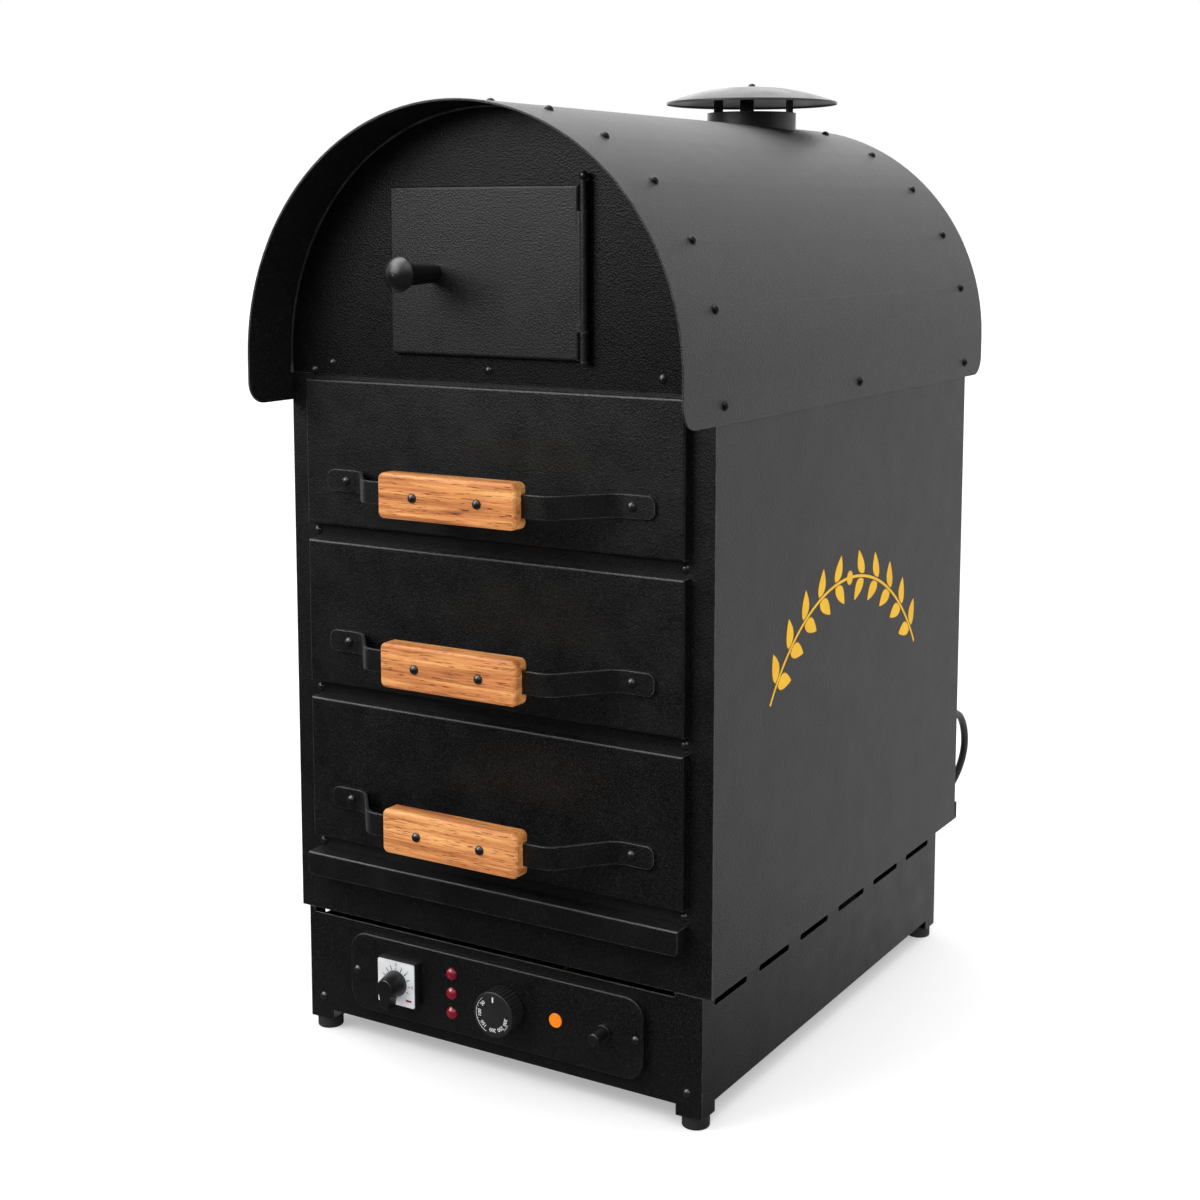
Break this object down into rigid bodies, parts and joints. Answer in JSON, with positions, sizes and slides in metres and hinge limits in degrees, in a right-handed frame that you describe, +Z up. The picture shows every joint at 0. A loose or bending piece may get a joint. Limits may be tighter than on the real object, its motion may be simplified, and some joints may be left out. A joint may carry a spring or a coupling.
{
  "type": "baked potato oven",
  "caption": "Arched-hood potato oven: drawers with wooden handles, hinged chamber door, flue cowl, crumb tray, base plinth with switch, lamps, thermostat and button, mains cord.",
  "frame": {"origin": "Middle of the oven's footprint box, without its cord, on the floor under the feet", "axes": "+X to the oven's right as seen from the front, +Y from the front to the back, +Z up"},
  "size_m": [0.5026, 0.898, 1.0143],
  "materials": {
    "black_coat": "satin black powder coat with a fine orange-peel texture",
    "liner_steel": "bare sheet steel",
    "insulation": "mineral wool",
    "element_sheath": "heat-dulled steel sheath",
    "black_fastener": "gloss black domed heads",
    "wood": "oiled light hardwood",
    "grey_cap": "satin grey",
    "black_knob": "moulded gloss black",
    "magnet": "sintered magnet",
    "white_plastic": "moulded white",
    "red_lamp": "clear red moulding",
    "orange_lamp": "clear orange moulding",
    "control_body": "moulded dark grey",
    "spring_steel": "bright spring wire",
    "wire": "heat-proof sleeved wire",
    "foot_rubber": "moulded black rubber",
    "cord_rubber": "black flexible cord",
    "plug": "moulded black plug with metal pins"
  },
  "bodies": {
    "cabinet": {"side_panel_left": "black_coat", "side_panel_right": "black_coat", "back_panel": "black_coat", "front_frame": "black_coat", "front_arch_panel": "black_coat", "rear_arch_panel": "black_coat", "hood_shell": "black_coat", "base_plinth": "black_coat", "base_floor": "black_coat", "cabinet_floor": "black_coat", "control_panel": "black_coat", "hinge_knuckles": "black_coat", "flue_collar": "black_coat", "cowl_struts": "black_coat", "oven_liner": "liner_steel", "drawer_runners": "liner_steel", "warming_deck": "liner_steel", "insulation": "insulation", "heating_elements": "element_sheath", "thermostat_bulb": "element_sheath", "rivets": "black_fastener", "dome_screws": "black_fastener", "hinge_pin": "black_fastener", "cowl_cap": "grey_cap", "switch_body": "black_knob", "button_bushing": "black_knob", "door_catch": "magnet", "switch_plate": "white_plastic", "terminal_block": "white_plastic", "red_lamps": "red_lamp", "orange_lamp": "orange_lamp", "thermostat_body": "control_body", "button_spring": "spring_steel", "wiring_loom": "wire", "feet": "foot_rubber", "power_cord": "cord_rubber", "cord_coil": "cord_rubber", "cable_gland": "cord_rubber", "plug": "plug"},
    "crumb_drawer": {"crumb_tray": "black_coat"},
    "chamber_door": {"hood_door": "black_coat", "door_knob": "black_knob"},
    "switch_dial": {"switch_knob": "black_knob"},
    "thermostat_dial": {"thermostat_knob": "black_knob"},
    "reset_button": {"push_button": "black_knob"},
    "drawer_bottom": {"drawer_bottom_front": "black_coat", "drawer_bottom_tray": "liner_steel", "drawer_bottom_strap": "black_coat", "drawer_bottom_grip": "wood", "drawer_bottom_rivets": "black_fastener"},
    "drawer_middle": {"drawer_middle_front": "black_coat", "drawer_middle_tray": "liner_steel", "drawer_middle_strap": "black_coat", "drawer_middle_grip": "wood", "drawer_middle_rivets": "black_fastener"},
    "drawer_top": {"drawer_top_front": "black_coat", "drawer_top_tray": "liner_steel", "drawer_top_strap": "black_coat", "drawer_top_grip": "wood", "drawer_top_rivets": "black_fastener"}
  },
  "joints": [
    {"name": "drawer_bottom_slide", "type": "slide", "parent": "cabinet", "child": "drawer_bottom", "axis": [0, -1, 0], "range_m": [0, 0.42]},
    {"name": "drawer_middle_slide", "type": "slide", "parent": "cabinet", "child": "drawer_middle", "axis": [0, -1, 0], "range_m": [0, 0.42]},
    {"name": "drawer_top_slide", "type": "slide", "parent": "cabinet", "child": "drawer_top", "axis": [0, -1, 0], "range_m": [0, 0.42]},
    {"name": "crumb_tray_slide", "type": "slide", "parent": "cabinet", "child": "crumb_drawer", "axis": [0, -1, 0], "range_m": [0, 0.45]},
    {"name": "hood_door_hinge", "type": "hinge", "parent": "cabinet", "child": "chamber_door", "pos_m": [0.111, -0.3055, 0.717], "axis": [0, 0, 1], "range_deg": [0, 115]},
    {"name": "switch_knob_turn", "type": "hinge", "parent": "cabinet", "child": "switch_dial", "pos_m": [-0.111, -0.298, 0.079], "axis": [0, -1, 0], "range_deg": [-180, 90]},
    {"name": "thermostat_knob_turn", "type": "hinge", "parent": "cabinet", "child": "thermostat_dial", "pos_m": [0.018, -0.298, 0.079], "axis": [0, -1, 0], "range_deg": [-270, 0]},
    {"name": "push_button_press", "type": "slide", "parent": "cabinet", "child": "reset_button", "axis": [0, 1, 0], "range_m": [0, 0.004], "stiffness_N_per_m": 300, "springref_m": -0.005, "deforming": ["button_spring"]}
  ]
}
